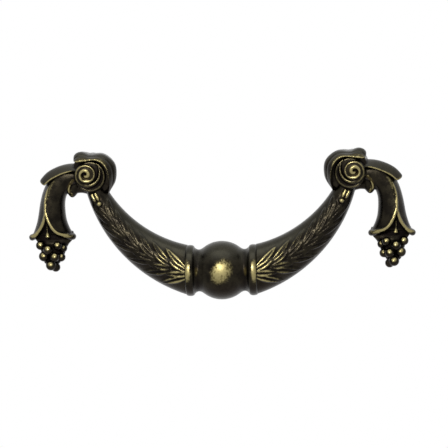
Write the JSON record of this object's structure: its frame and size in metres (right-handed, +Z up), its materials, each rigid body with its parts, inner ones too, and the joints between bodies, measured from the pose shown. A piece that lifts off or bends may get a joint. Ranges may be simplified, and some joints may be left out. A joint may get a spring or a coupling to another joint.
{
  "type": "cabinet handle",
  "caption": "Fixed drop-bail cabinet handle cast in one piece, with a ball between leaf-carved arms, scrolls over the screw holes and grape drops outside them.",
  "frame": {"origin": "midway between the two screw holes, on the drawer front", "axes": "+X to the right along the line of the screw holes, +Y into the drawer front, +Z up"},
  "size_m": [0.1424, 0.0302, 0.0543],
  "materials": {
    "antique_bronze": "antique bronze, dark in the hollows and rubbed bright on the edges"
  },
  "bodies": {
    "root": {"handle_casting": "antique_bronze"}
  },
  "joints": []
}
